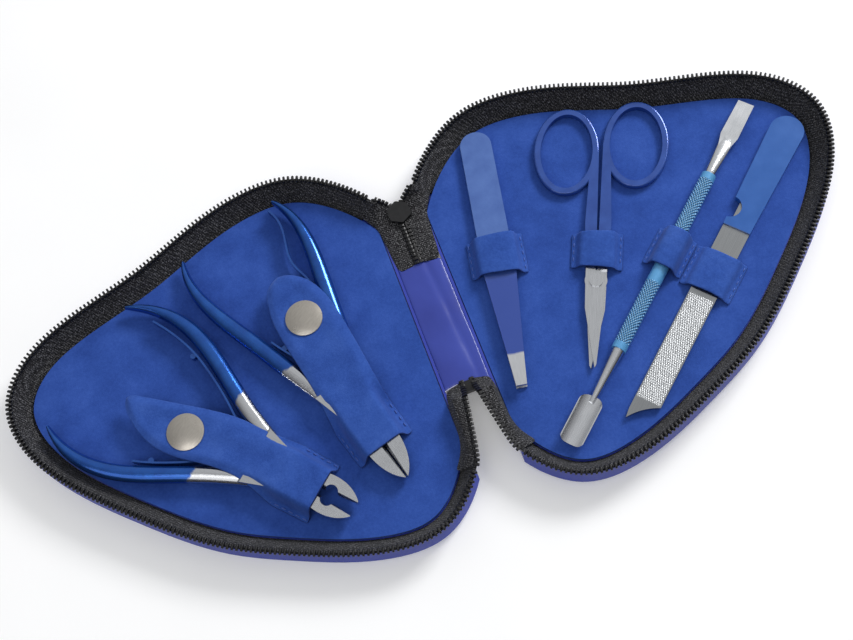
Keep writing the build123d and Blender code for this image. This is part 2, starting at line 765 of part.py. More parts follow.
def flat_end():
    """The straight blade: a neck that flattens into a plate, with a tang for the handle."""
    with BuildPart() as piece:
        with BuildSketch(Plane(origin=(blade_neck, 0, 0), z_dir=(-1, 0, 0))) as neck:
            Circle(1.8)
        with BuildSketch(Plane(origin=(flat_len, 0, 0), z_dir=(-1, 0, 0))) as root:
            Ellipse(0.6, 2.2)
        loft([neck.sketch.face(), root.sketch.face()])
        with BuildSketch(Plane.XY.offset(-flat_t / 2)) as plate:
            with BuildLine():
                Polyline((0, -flat_half), (flat_len - 2, -flat_half - 0.2), (flat_len + 3, -1.6))
                Line((flat_len + 3, -1.6), (flat_len + 3, 1.6))
                Polyline((flat_len + 3, 1.6), (flat_len - 2, flat_half + 0.2), (0, flat_half), (0, -flat_half))
            make_face()
        extrude(amount=flat_t)
        with Locations(Location((blade_neck, 0, 0), (0, 90, 0))):
            Cylinder(tang_r, tang_len - 0.2, align=(Align.CENTER, Align.CENTER, Align.MIN))
    return piece.part


def spoon_end():
    """The cupped end: a neck, then a trough with a rounded plan, with a tang for the handle."""
    spoon_root = pusher_len - spoon_len
    with BuildPart() as piece:
        with BuildSketch(Plane(origin=(spoon_root + spoon_len / 2, 0, spoon_r - 1.2), z_dir=(1, 0, 0))):
            Circle(spoon_r)
            Circle(spoon_r - spoon_t, mode=Mode.SUBTRACT)
        extrude(amount=spoon_len / 2, both=True)
        with BuildSketch(Plane.XY.offset(-2)) as plan:
            with Locations((spoon_root, 0)):
                Rectangle(spoon_len, 2 * spoon_half, align=(Align.MIN, Align.CENTER))
            fillet(plan.vertices().group_by(Axis.X)[0], 3.0)
            fillet(plan.vertices().group_by(Axis.X)[-1], 1.6)
        extrude(amount=3.2, mode=Mode.INTERSECT)
        with BuildSketch(Plane(origin=(spoon_neck, 0, 0), z_dir=(1, 0, 0))) as neck:
            Circle(1.8)
        with BuildSketch(Plane(origin=(spoon_root + 2, 0, -0.6), z_dir=(1, 0, 0))) as root:
            Circle(0.9)
        loft([neck.sketch.face(), root.sketch.face()])
        with Locations(Location((spoon_neck, 0, 0), (0, 90, 0))):
            Cylinder(tang_r, tang_len - 0.2, align=(Align.CENTER, Align.CENTER, Align.MAX))
    return piece.part


with BuildPart() as pusher_blade:
    add(flat_end().moved(pusher_frame.location))

with BuildPart() as pusher_spoon:
    add(spoon_end().moved(pusher_frame.location))

# File: a flat steel blade with a hooked tip, its tang held in a flat handle, shown along X from the handle's end
file_start = (125.3, 17.2)
file_tip = (41.3, -55.2)
file_len = 111.0
file_t = 1.1
file_handle_t = 2.4
file_handle_len = 42.5
file_half = 5.3
file_waist = 4.3
file_tang_start = 24.0
file_tang_half = 2.6
file_notch_u = file_handle_len - 6.0
file_notch_r = 3.6
file_clear = 0.1
file_z = lining_top + rest_gap + file_handle_t / 2
file_frame = tool_frame(file_start, file_tip, file_z)


def handle_plate():
    """The file's flat handle: rounded end, half-round notch at one side, pocket for the tang."""
    with BuildPart() as plate:
        with BuildSketch(Plane.XY.offset(-file_handle_t / 2)):
            with BuildLine():
                ThreePointArc((file_half, file_half), (0, 0), (file_half, -file_half))
                Polyline(
                    (file_half, -file_half), (file_handle_len, -file_waist), (file_handle_len, file_waist),
                    (file_half, file_half),
                )
            make_face()
            with Locations((file_notch_u, -file_waist - 0.6)):
                Circle(file_notch_r, mode=Mode.SUBTRACT)
        extrude(amount=file_handle_t)
        with BuildSketch(Plane.XY.offset(-file_t / 2 - file_clear)):
            with Locations((file_tang_start - file_clear, 0)):
                Rectangle(file_len, 2 * (file_tang_half + file_clear), align=(Align.MIN, Align.CENTER))
        extrude(amount=file_t + 2 * file_clear, mode=Mode.SUBTRACT)
    return plate.part


def steel_plate():
    """The file's steel: a tang, a tapering blade and a hooked tip."""
    blade_u = file_handle_len + file_clear
    with BuildPart() as plate:
        with BuildSketch(Plane.XY.offset(-file_t / 2)):
            with BuildLine():
                Polyline(
                    (file_len, -3.6), (file_len - 3, -4), (blade_u, 0.1 - file_waist), (blade_u, file_waist - 0.1),
                    (file_len - 7, 4.1),
                )
                ThreePointArc((file_len - 7, 4.1), (file_len - 4.5, 0.2), (file_len, -3.6))
            make_face()
            with Locations((file_tang_start, 0)):
                tang_reach = file_handle_len + 1 - file_tang_start
                Rectangle(tang_reach, 2 * file_tang_half, align=(Align.MIN, Align.CENTER))
        extrude(amount=file_t)
    return plate.part


with BuildPart() as file_handle:
    add(handle_plate().moved(file_frame.location))

with BuildPart() as file_blade:
    add(steel_plate().moved(file_frame.location))


# Stitched loops that hold the right-hand tools
loop_clear = 0.3
loop_foot_w = 1.5


def loop(length, half, height):
    """A leather strap bridged over a tool, its feet flat on the lining, centred on the origin."""
    with BuildPart() as piece:
        extrude(arch(half, height, -length / 2, loop_foot_w), amount=length)
    return piece.part


tweezers_loop_u = 44.0
tweezers_loop_len = 13.0
scissor_loop_u = -9.6
scissor_loop_len = 13.2
pusher_loop_u = 56.2
pusher_loop_len = 13.0
file_loop_u = file_handle_len + 16.1
file_loop_len = 14.0
scissor_lining = on_lining(scissor_frame)
pusher_lining = on_lining(pusher_frame)
file_lining = on_lining(file_frame)

with BuildPart() as tweezers_loop:
    gap_at_loop = tweezers_gap * (tweezers_loop_u + tweezers_loop_len / 2) / tweezers_len
    tweezers_h = rest_gap + 2 * tweezers_arm_t + gap_at_loop + loop_clear
    tweezers_half_span = tweezers_half + 2.3
    add(
        loop(tweezers_loop_len, tweezers_half_span, tweezers_h).moved(
            tweezers_frame.location * Location((tweezers_loop_u, 0, 0))
        )
    )

with BuildPart() as scissors_loop:
    scissor_h = rest_gap + scissor_t + loop_clear
    add(loop(scissor_loop_len, 6.3, scissor_h).moved(scissor_lining.location * Location((scissor_loop_u, 0, 0))))

with BuildPart() as pusher_loop:
    pusher_h = rest_gap + 2 * pusher_r + loop_clear
    add(loop(pusher_loop_len, pusher_r + 2.4, pusher_h).moved(pusher_lining.location * Location((pusher_loop_u, 0, 0))))

with BuildPart() as file_loop:
    file_h = rest_gap + (file_handle_t + file_t) / 2 + loop_clear
    add(loop(file_loop_len, file_waist + 2.3, file_h).moved(file_lining.location * Location((file_loop_u, 0, 0))))

pieces = {
    "right_cover": right_cover,
    "left_cover": left_cover,
    "right_board": right_board,
    "left_board": left_board,
    "right_lining": right_lining,
    "left_lining": left_lining,
    "right_zip_tape": right_zip_tape,
    "left_zip_tape": left_zip_tape,
    "right_zip_teeth": right_zip_teeth,
    "left_zip_teeth": left_zip_teeth,
    "spine_strip": spine_strip,
    "far_gusset": far_gusset,
    "near_gusset": near_gusset,
    "closed_zip_chain": closed_zip_chain,
    "bottom_stop": bottom_stop,
    "zip_slider": zip_slider,
    "zip_pull_tab": zip_pull_tab,
    "nipper_a_upper_half": nipper_a_upper_half,
    "nipper_a_lower_half": nipper_a_lower_half,
    "nipper_a_pin": nipper_a_pin,
    "nipper_a_upper_spring": nipper_a_upper_spring,
    "nipper_a_lower_spring": nipper_a_lower_spring,
    "nipper_a_sleeve": nipper_a_sleeve_piece,
    "nipper_a_flap": nipper_a_flap_piece,
    "nipper_a_snap_cap": nipper_a_snap_cap,
    "nipper_a_snap_socket": nipper_a_snap_socket,
    "nipper_a_snap_stud": nipper_a_snap_stud,
    "nipper_b_upper_half": nipper_b_upper_half,
    "nipper_b_lower_half": nipper_b_lower_half,
    "nipper_b_pin": nipper_b_pin,
    "nipper_b_upper_spring": nipper_b_upper_spring,
    "nipper_b_lower_spring": nipper_b_lower_spring,
    "nipper_b_sleeve": nipper_b_sleeve_piece,
    "nipper_b_flap": nipper_b_flap_piece,
    "nipper_b_snap_cap": nipper_b_snap_cap,
    "nipper_b_snap_socket": nipper_b_snap_socket,
    "nipper_b_snap_stud": nipper_b_snap_stud,
    "tweezers_lower_arm": tweezers_lower_arm,
    "tweezers_upper_arm": tweezers_upper_arm,
    "tweezers_loop": tweezers_loop,
    "scissors_upper_half": scissors_upper_half,
    "scissors_lower_half": scissors_lower_half,
    "scissors_screw": scissors_screw,
    "scissors_loop": scissors_loop,
    "pusher_handle": pusher_handle,
    "pusher_blade": pusher_blade,
    "pusher_spoon": pusher_spoon,
    "pusher_loop": pusher_loop,
    "file_handle": file_handle,
    "file_blade": file_blade,
    "file_loop": file_loop,
}

# The whole case is set down with its middle over the origin
middle_y = 2.88
for name, piece in pieces.items():
    placed = piece.part.moved(Location((0, middle_y, 0)))
    placed.label = name
    export_step(placed, f"parts/{name}.step")
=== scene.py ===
from math import atan2, cos, exp, pi, radians, sin, sqrt

import bmesh
import bpy
import numpy as np
from mathutils import Matrix, Vector


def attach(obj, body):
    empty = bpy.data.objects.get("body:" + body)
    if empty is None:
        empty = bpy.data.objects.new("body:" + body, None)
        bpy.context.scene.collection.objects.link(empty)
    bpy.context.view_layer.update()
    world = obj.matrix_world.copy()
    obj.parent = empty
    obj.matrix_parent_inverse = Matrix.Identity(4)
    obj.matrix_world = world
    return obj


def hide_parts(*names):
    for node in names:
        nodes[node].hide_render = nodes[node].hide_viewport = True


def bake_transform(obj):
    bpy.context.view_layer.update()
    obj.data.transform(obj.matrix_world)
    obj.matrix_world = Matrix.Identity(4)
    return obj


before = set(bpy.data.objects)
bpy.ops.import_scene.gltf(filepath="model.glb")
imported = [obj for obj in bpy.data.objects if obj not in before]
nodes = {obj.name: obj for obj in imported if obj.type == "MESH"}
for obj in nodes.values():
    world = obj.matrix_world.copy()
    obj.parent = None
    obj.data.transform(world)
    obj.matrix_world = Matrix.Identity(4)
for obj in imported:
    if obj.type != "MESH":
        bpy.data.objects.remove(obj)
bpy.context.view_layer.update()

MM = 0.001  # a millimetre, in metres
MIDDLE_Y = 2.88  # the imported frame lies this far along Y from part.py's own places
LINING_TOP = 3.2  # height of the linings, on which tools, straps and sleeves lie

# ---------------------------------------------------------------- materials


class Shader:
    """A node material whose texture lookups are in millimetres of the shared frame."""

    def __init__(self, name):
        self.material = bpy.data.materials.new(name)
        self.material.use_nodes = True
        self.tree = self.material.node_tree
        self.bsdf = self.tree.nodes["Principled BSDF"]
        scale = self.new("ShaderNodeVectorMath", operation="SCALE")
        scale.inputs["Scale"].default_value = 1 / MM
        self.link(self.new("ShaderNodeTexCoord").outputs["Object"], scale.inputs[0])
        self.place = scale.outputs[0]
        self.normal = None

    def new(self, kind, **values):
        node = self.tree.nodes.new(kind)
        for key, value in values.items():
            setattr(node, key, value)
        return node

    def link(self, out, socket):
        self.tree.links.new(out, socket)

    def put(self, **values):
        for key, value in values.items():
            self.bsdf.inputs[key.replace("_", " ")].default_value = value

    def drive(self, **sockets):
        for key, out in sockets.items():
            self.link(out, self.bsdf.inputs[key.replace("_", " ")])

    def color(self, out):
        self.drive(Base_Color=out)

    def noise(self, size, detail, place=None, rough=0.55):
        """Noise from 0 to 1; size is the width of its lumps, in millimetres."""
        node = self.new("ShaderNodeTexNoise")
        node.inputs["Scale"].default_value = 1.0 / size
        node.inputs["Detail"].default_value = detail
        node.inputs["Roughness"].default_value = rough
        self.link(place or self.place, node.inputs["Vector"])
        return node.outputs["Fac"]

    def stretched(self, scale, angle, origin=(0, 0, 0)):
        """Lookup places turned by angle about Z and then scaled, for grain that runs one way."""
        move = self.new("ShaderNodeVectorMath", operation="SUBTRACT")
        move.inputs[1].default_value = origin
        self.link(self.place, move.inputs[0])
        turn = self.new("ShaderNodeVectorRotate", rotation_type="Z_AXIS")
        turn.inputs["Angle"].default_value = -angle
        self.link(move.outputs[0], turn.inputs["Vector"])
        size = self.new("ShaderNodeVectorMath", operation="MULTIPLY")
        size.inputs[1].default_value = scale
        self.link(turn.outputs[0], size.inputs[0])
        return size.outputs[0]

    def ramp(self, fac, stops):
        """The color for fac, between stops given as (place, color)."""
        node = self.new("ShaderNodeValToRGB")
        ramp = node.color_ramp
        while len(ramp.elements) < len(stops):
            ramp.elements.new(0.5)
        for element, (place, color) in zip(ramp.elements, stops):
            element.position = place
            element.color = (*color, 1)
        self.link(fac, node.inputs["Fac"])
        return node.outputs["Color"]

    def math(self, operation, a, b=None, clamp=False):
        node = self.new("ShaderNodeMath", operation=operation, use_clamp=clamp)
        for socket, value in zip(node.inputs, (a, b)):
            if isinstance(value, (int, float)):
                socket.default_value = value
            elif value is not None:
                self.link(value, socket)
        return node.outputs[0]

    def fit(self, value, factor, offset):
        """value times factor, plus offset."""
        return self.math("ADD", self.math("MULTIPLY", value, factor), offset)

    def wave(self, value, rate):
        """The sine of value, at rate radians per millimetre."""
        return self.math("SINE", self.math("MULTIPLY", value, rate))

    def past(self, value, start, steep):
        """How far value is past start, times steep, kept between 0 and 1."""
        return self.math("MULTIPLY", self.math("SUBTRACT", value, start), steep, clamp=True)

    def mix(self, fac, a, b):
        node = self.new("ShaderNodeMix", data_type="RGBA")
        for key, value in (("Factor", fac), ("A", a), ("B", b)):
            if isinstance(value, tuple):
                node.inputs[key].default_value = (*value, 1)
            else:
                self.link(value, node.inputs[key])
        return node.outputs["Result"]

    def split(self, place):
        """The X, Y and Z of a place."""
        node = self.new("ShaderNodeSeparateXYZ")
        self.link(place, node.inputs[0])
        return node.outputs

    def bump(self, height, distance, strength=1.0):
        """Raises the surface by height times distance, in millimetres; calls stack."""
        node = self.new("ShaderNodeBump")
        node.inputs["Strength"].default_value = strength
        node.inputs["Distance"].default_value = distance * MM
        self.link(height, node.inputs["Height"])
        if self.normal is not None:
            self.link(self.normal, node.inputs["Normal"])
        self.normal = node.outputs["Normal"]
        self.drive(Normal=self.normal)


BLACK = (0.005, 0.005, 0.006)
STEEL = (0.62, 0.63, 0.65)
STEEL_DARK = (0.52, 0.53, 0.55)


def suede(name, dark, mid, light, nap=1.0):
    """Brushed suede: soft mottling, a fine nap and a pale sheen."""
    s = Shader(name)
    flecks = s.math("MULTIPLY", s.noise(0.7, 2.0), 0.35)
    blend = s.fit(s.noise(9.0, 4.0), 0.65, flecks)
    s.color(s.ramp(blend, [(0.34, dark), (0.5, mid), (0.68, light)]))
    s.put(Roughness=0.95, Specular_IOR_Level=0.12)
    s.put(Sheen_Weight=0.18, Sheen_Roughness=0.5, Sheen_Tint=(0.35, 0.5, 1.0, 1))
    s.bump(s.noise(14.0, 2.0), 0.5 * nap, 0.6)
    s.bump(s.noise(0.35, 3.0), 0.12 * nap, 0.55)
    return s.material


def vinyl(name, base, deep, gloss=0.6):
    """Glossy vinyl film with a faint orange-peel and long soft ripples."""
    s = Shader(name)
    s.color(s.ramp(s.noise(18.0, 2.0), [(0.35, deep), (0.65, base)]))
    s.put(Roughness=0.3, Coat_Weight=gloss, Coat_Roughness=0.12, Specular_IOR_Level=0.35)
    s.bump(s.noise(9.0, 2.0), 0.5, 0.5)
    s.bump(s.noise(1.1, 2.0), 0.05, 0.4)
    return s.material


def woven(name):
    """Black zip tape: a tight herringbone weave, with painted grey glints where its threads would catch the
    light.
    """
    threads = 7.0  # radians per millimetre
    s = Shader(name)
    x, y, z = s.split(s.place)
    slant = s.math("MULTIPLY", z, 0.6)
    warp = s.wave(s.math("ADD", x, slant), threads)
    weft = s.wave(s.math("SUBTRACT", y, slant), threads)
    weave = s.math("MULTIPLY", warp, weft)
    glint_fleck = s.noise(0.38, 3.0, rough=0.7)
    # The noise's light flecks are painted glints in the colour; the same noise also bumps the threads
    greys = [(0.40, BLACK), (0.54, (0.030, 0.030, 0.033)), (0.68, (0.20, 0.20, 0.21))]
    s.color(s.ramp(s.fit(weave, 0.06, glint_fleck), greys))
    s.put(Roughness=0.9, Sheen_Weight=0.08, Specular_IOR_Level=0.2)
    s.bump(weave, 0.08, 0.8)
    s.bump(glint_fleck, 0.15, 0.6)
    return s.material


def moulded(name, base=BLACK, rough=0.38):
    """Moulded plastic or enamel with small scuffs."""
    s = Shader(name)
    scuffed = tuple(1.5 * c + 0.003 for c in base)
    s.color(s.ramp(s.noise(1.5, 3.0), [(0.3, base), (0.75, scuffed)]))
    s.put(Specular_IOR_Level=0.4)
    s.drive(Roughness=s.fit(s.noise(2.0, 3.0), 0.25, rough - 0.1))
    s.bump(s.noise(0.6, 2.0), 0.05, 0.4)
    return s.material


def scratches(s, angle):
    """Fine scratches that run at angle about Z."""
    return s.noise(1.0, 4.0, s.stretched((0.3, 9.0, 9.0), angle))


def steel(name, angle, bright=1.0, rough=0.24, grain=0.5, low=STEEL_DARK, high=STEEL):
    """Ground steel: fine scratches along angle and uneven polish."""
    s = Shader(name)
    scratch = scratches(s, angle)
    s.color(s.ramp(scratch, [(0.3, [bright * c for c in low]), (0.7, [bright * c for c in high])]))
    s.put(Metallic=1.0)
    s.drive(Roughness=s.fit(s.noise(4.0, 3.0), 0.16, rough - 0.06))
    s.bump(scratch, 0.008 * grain, 0.5)
    return s.material


def coated(name, tool, cut, soft, blue, dark, rough, metallic, fade=None):
    """Blue metallic coating that stops at a line across the tool, with bare steel beyond it.

    The coating reaches cut millimetres along the tool, and soft is how ragged its edge is. fade gives two
    places along the tool and the deeper color that the coating takes on from the first to the second.
    """
    s = Shader(name)
    move = s.new("ShaderNodeVectorMath", operation="SUBTRACT")
    move.inputs[1].default_value = tool.origin
    s.link(s.place, move.inputs[0])
    dot = s.new("ShaderNodeVectorMath", operation="DOT_PRODUCT")
    dot.inputs[1].default_value = tool.u
    s.link(move.outputs[0], dot.inputs[0])
    along = dot.outputs["Value"]
    ragged = s.math("ADD", along, s.math("MULTIPLY", s.noise(2.0, 3.0), soft))
    bare = s.past(ragged, cut, 1.5)
    flake = s.math("MULTIPLY", s.noise(0.25, 2.0), 0.3)
    haze = s.noise(5.0, 3.0)
    paint = s.ramp(s.fit(haze, 0.7, flake), [(0.32, dark), (0.68, blue)])
    if fade:
        fade_from, fade_to, deep = fade
        depth = s.math("DIVIDE", s.math("SUBTRACT", along, fade_from), fade_to - fade_from, clamp=True)
        paint = s.mix(depth, paint, deep)
    scratch = scratches(s, tool.angle)
    metal = s.ramp(scratch, [(0.3, STEEL_DARK), (0.7, STEEL)])
    s.color(s.mix(bare, paint, metal))
    s.put(Coat_Weight=0.35, Coat_Roughness=0.08)
    s.drive(Metallic=s.fit(bare, 1.0 - metallic, metallic), Roughness=s.fit(haze, 0.14, rough - 0.05))
    s.bump(scratch, 0.005, 0.5)
    return s.material


def assign(names, material):
    for name in names:
        node = nodes[name]
        node.data.materials.clear()
        node.data.materials.append(material)


class Tool:
    """A tool's own frame: places are given along it, across it and above the lining, in millimetres."""

    def __init__(self, at, tip):
        self.origin = Vector((at[0], at[1] + MIDDLE_Y, LINING_TOP))
        self.u = Vector((tip[0] - at[0], tip[1] - at[1], 0)).normalized()
        self.v = Vector((-self.u.y, self.u.x, 0))
        self.angle = atan2(self.u.y, self.u.x)

    def at(self, u, v, z):
        return self.origin + self.u * u + self.v * v + Vector((0, 0, z))


# Where each tool starts and where it points, as in part.py
nipper_a = Tool((-32.7, -23.1), (-26.3, -46.2))
nipper_b = Tool((-58.4, -32.7), (-44.0, -49.3))
tweezers = Tool((31.6, 52.6), (14.5, -32.7))
scissors = Tool((47.6, -9.9), (35.9, -35.1))
pusher = Tool((114.2, 27.5), (20.9, -54.0))
file = Tool((125.3, 17.2), (41.3, -55.2))

suede_lining = suede("lining_suede", (0.022, 0.062, 0.29), (0.029, 0.079, 0.35), (0.040, 0.100, 0.41))
suede_strap = suede("strap_suede", (0.022, 0.064, 0.29), (0.031, 0.086, 0.36), (0.046, 0.112, 0.42), nap=1.3)
# Painted shade: the rim faces of straps and flaps get a suede much darker than the straps, so their edges read
# as shaded lines
shaded_suede_rim = suede("painted_shade_suede_rim", (0.007, 0.016, 0.10), (0.012, 0.028, 0.15), (0.03, 0.07, 0.28))
vinyl_cover = vinyl("cover_vinyl", (0.023, 0.047, 0.40), (0.020, 0.040, 0.365))
vinyl_spine = vinyl("spine_vinyl", (0.038, 0.062, 0.36), (0.032, 0.050, 0.31), gloss=0.2)
tape = woven("zip_tape_weave")
tooth_black = moulded("tooth_plastic")
enamel_black = moulded("slider_enamel", rough=0.4)
board_grey = moulded("board_grey", (0.2, 0.2, 0.21), rough=0.8)

assign(["left_cover", "right_cover"], vinyl_cover)
assign(["left_board", "right_board"], board_grey)
assign(["left_lining", "right_lining"], suede_lining)
assign(["left_zip_tape", "right_zip_tape", "far_gusset", "near_gusset"], tape)
assign(["left_zip_teeth", "right_zip_teeth", "closed_zip_chain", "bottom_stop"], tooth_black)
assign(["zip_slider", "zip_pull_tab"], enamel_black)
assign(["spine_strip"], vinyl_spine)

COVERS_ALL = 60.0  # past the end of the springs and of the file's handle
for key, tool, cut in (("a", nipper_a, -24.0), ("b", nipper_b, -25.0)):
    nipper = f"nipper_{key}"
    assign(
        [f"{nipper}_upper_half", f"{nipper}_lower_half"],
        coated(
            f"{nipper}_coating", tool, cut, 1.6, (0.020, 0.12, 0.47), (0.012, 0.070, 0.34),
            rough=0.18, metallic=0.8,
        ),
    )
    assign(
        [f"{nipper}_upper_spring", f"{nipper}_lower_spring"],
        coated(
            f"{nipper}_spring_coating", tool, COVERS_ALL, 1.0, (0.02, 0.10, 0.40), (0.012, 0.06, 0.28),
            rough=0.25, metallic=0.6,
        ),
    )
    assign([f"{nipper}_pin"], steel(f"{nipper}_pin_steel", tool.angle))
snap = steel(
    "snap_nickel", 0.6, bright=0.9, rough=0.28, grain=0.6, low=(0.48, 0.44, 0.39), high=(0.62, 0.58, 0.52),
)
for key in "ab":
    assign([f"nipper_{key}_snap_{piece}" for piece in ("cap", "socket", "stud")], snap)
assign(
    ["tweezers_lower_arm", "tweezers_upper_arm"],
    coated(
        "tweezers_coating", tweezers, 77.0, 0.6, (0.085, 0.175, 0.48), (0.055, 0.125, 0.40),
        rough=0.36, metallic=0.3, fade=(43.0, 53.0, (0.027, 0.067, 0.33)),
    ),
)
assign(
    ["scissors_upper_half", "scissors_lower_half"],
    coated(
        "scissors_coating", scissors, -9.0, 0.4, (0.03, 0.09, 0.38), (0.018, 0.06, 0.29),
        rough=0.2, metallic=0.3,
    ),
)
assign(["scissors_screw"], steel("screw_steel", scissors.angle, bright=1.05, rough=0.18))


def knurled():
    """Light blue anodised handle: crossed knurling, with a plain length where the strap holds it."""
    knurl_from, knurl_to = 30.0, 90.0
    plain_from, plain_to = 51.0, 68.0
    rate, slope, steep = 5.6, 1.35, 2.0
    s = Shader("pusher_anodised")
    u, v, _ = s.split(s.stretched((1.0, 1.0, 1.0), pusher.angle, pusher.origin))
    across = s.math("MULTIPLY", v, slope)
    a = s.wave(s.math("ADD", u, across), rate)
    b = s.wave(s.math("SUBTRACT", u, across), rate)
    diamonds = s.math("MULTIPLY", s.math("ADD", a, b), 0.5)
    within = s.math("MULTIPLY", s.past(u, knurl_from, steep), s.past(knurl_to, u, steep))
    off_plain = s.math("ADD", s.past(plain_from, u, steep), s.past(u, plain_to, steep), clamp=True)
    height = s.math("MULTIPLY", diamonds, s.math("MULTIPLY", within, off_plain))
    # Painted light and shade: the knurl's crests take a pale painted highlight and its grooves a darker
    # painted shade; the plain length keeps the middle blue
    knurl_light_and_shade_blues = [(0.15, (0.035, 0.17, 0.44)), (0.5, (0.10, 0.34, 0.64)), (0.9, (0.42, 0.66, 0.90))]
    s.color(s.ramp(s.fit(height, 0.4, 0.5), knurl_light_and_shade_blues))
    s.put(Metallic=0.15, Coat_Weight=0.3, Coat_Roughness=0.15)
    s.drive(Roughness=s.fit(s.noise(2.0, 3.0), 0.15, 0.25))
    s.bump(height, 0.28)
    return s.material


def file_cut():
    """Bare steel with a crossed diamond cut over the blade and plain margins."""
    cut_from, cut_to, cut_half = 67.0, 104.0, 3.9
    s = Shader("file_diamond_cut")
    u, v, _ = s.split(s.stretched((1.0, 1.0, 1.0), file.angle, file.origin))
    a = s.wave(s.math("ADD", u, s.math("MULTIPLY", v, 1.1)), 9.0)
    b = s.wave(s.math("SUBTRACT", s.math("MULTIPLY", u, 0.55), v), 10.5)
    diamonds = s.math("MULTIPLY", s.math("ADD", a, b), 0.5)
    length = s.math("MULTIPLY", s.past(u, cut_from, 1.5), s.past(cut_to, u, 1.5))
    cut = s.math("MULTIPLY", length, s.past(cut_half, s.math("ABSOLUTE", v), 3.0))
    height = s.math("MULTIPLY", diamonds, cut)
    grain = s.noise(1.0, 4.0, s.stretched((0.12, 5.0, 5.0), file.angle))
    # Painted light and shade: the cut's crests are painted lighter and its grooves darker, on top of the
    # grain's random tone
    greys = [(0.2, (0.20, 0.21, 0.22)), (0.55, (0.34, 0.35, 0.36)), (0.9, (0.50, 0.51, 0.52))]
    s.color(s.ramp(s.fit(height, 0.32, s.fit(grain, 0.3, 0.38)), greys))
    s.put(Metallic=1.0)
    s.drive(Roughness=s.fit(cut, 0.10, 0.22))
    s.bump(height, 0.06)
    return s.material


assign(["pusher_handle"], knurled())
assign(["pusher_blade", "pusher_spoon"], steel("pusher_steel", pusher.angle, bright=1.15, rough=0.2))
assign(["file_blade"], file_cut())
assign(
    ["file_handle"],
    coated(
        "file_lacquer", file, COVERS_ALL, 0.2, (0.016, 0.108, 0.41), (0.012, 0.090, 0.36),
        rough=0.22, metallic=0.1,
    ),
)

# ---------------------------------------------------------------- small helpers


def bevel(piece, width, segments, angle=35):
    """Rounds a piece's edges that are sharper than angle, in degrees; width is in millimetres."""
    modifier = piece.modifiers.new("edge", "BEVEL")
    modifier.width = width * MM
    modifier.segments = segments
    modifier.limit_method = "ANGLE"
    modifier.angle_limit = radians(angle)


def mesh(name, vertices, faces, material, body, smooth=True):
    """A new piece from vertices in millimetres, riding on a body."""
    data = bpy.data.meshes.new(name)
    data.from_pydata([tuple(c * MM for c in v) for v in vertices], [], faces)
    data.update()
    if smooth:
        data.polygons.foreach_set("use_smooth", [True] * len(data.polygons))
    data.materials.append(material)
    piece = bpy.data.objects.new(name, data)
    bpy.context.scene.collection.objects.link(piece)
    if body:
        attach(piece, body)
    return piece


def grid_faces(rows, columns, closed=False):
    """Faces between rows of points; closed joins each row's last point to its first."""
    faces = []
    for i in range(rows - 1):
        for j in range(columns if closed else columns - 1):
            k = (j + 1) % columns
            faces.append((i * columns + j, i * columns + k, (i + 1) * columns + k, (i + 1) * columns + j))
    return faces


def shifted(faces, base):
    return [tuple(base + i for i in face) for face in faces]


def leather(name, top, thick, material, body, subdivide=1, rim=None):
    """A leather piece from a grid of points on its upper side; its edges are rounded."""
    flat = [p for row in top for p in row]
    piece = mesh(name, flat, grid_faces(len(top), len(top[0])), material, None)
    piece.data.materials.append(rim or material)
    work = bmesh.new()
    work.from_mesh(piece.data)
    bmesh.ops.remove_doubles(work, verts=work.verts, dist=0.02 * MM)
    bmesh.ops.recalc_face_normals(work, faces=work.faces)
    if sum(f.normal.z * f.calc_area() for f in work.faces) < 0:
        bmesh.ops.reverse_faces(work, faces=work.faces)
    work.to_mesh(piece.data)
    work.free()
    solid = piece.modifiers.new("thickness", "SOLIDIFY")
    solid.thickness = thick * MM
    solid.offset = -1.0
    solid.material_offset_rim = 1
    sub = piece.modifiers.new("soften", "SUBSURF")
    sub.levels = sub.render_levels = subdivide
    settle(piece)
    if body:
        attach(piece, body)
    return piece


def settle(piece):
    """Applies a piece's modifiers, so what is left is a plain mesh."""
    graph = bpy.context.evaluated_depsgraph_get()
    data = bpy.data.meshes.new_from_object(piece.evaluated_get(graph))
    data.polygons.foreach_set("use_smooth", [True] * len(data.polygons))
    piece.modifiers.clear()
    old = piece.data
    piece.data = data
    bpy.data.meshes.remove(old)


def smoothstep(x):
    x = min(1.0, max(0.0, x))
    return x * x * (3 - 2 * x)


def catmull_rom(p, t):
    """The curve through four points or numbers, at t from the second to the third."""
    return 0.5 * (
        2 * p[1]
        + (p[2] - p[0]) * t
        + (2 * p[0] - 5 * p[1] + 4 * p[2] - p[3]) * t * t
        + (3 * p[1] - p[0] - 3 * p[2] + p[3]) * t**3
    )


def around(points, i):
    """The four points round span i of a line, with its ends repeated."""
    last = len(points) - 1
    return [points[min(last, max(0, i + k))] for k in (-1, 0, 1, 2)]


class Line:
    """A line through points, to be walked along; all in millimetres."""

    def __init__(self, points):
        self.points = [Vector(p) for p in points]
        self.spans = [(b - a).length for a, b in zip(self.points, self.points[1:])]
        self.length = sum(self.spans)

    def locate(self, s):
        """The span that the place s along the line is in, and the share of it that lies before s."""
        for i, span in enumerate(self.spans):
            if s <= span or i == len(self.spans) - 1:
                return i, s / span
            s -= span

    def at(self, s):
        i, t = self.locate(s)
        return self.points[i].lerp(self.points[i + 1], t)

    def rounded_at(self, s):
        """The place s along the line, on a curve through its points."""
        i, t = self.locate(s)
        return catmull_rom(around(self.points, i), t)


thread = moulded("stitch_thread", (0.05, 0.10, 0.34), rough=0.7)

STITCH, STITCH_GAP = 1.5, 0.9
THREAD_RADIUS, THREAD_SIDES = 0.2, 6
# Rings along a stitch: the share of its length, and the ring's size and rise as shares of the radius
STITCH_RINGS = [(0.0, 0.35, -0.6), (0.15, 0.9, 0.1), (0.5, 1.0, 0.35), (0.85, 0.9, 0.1), (1.0, 0.35, -0.6)]


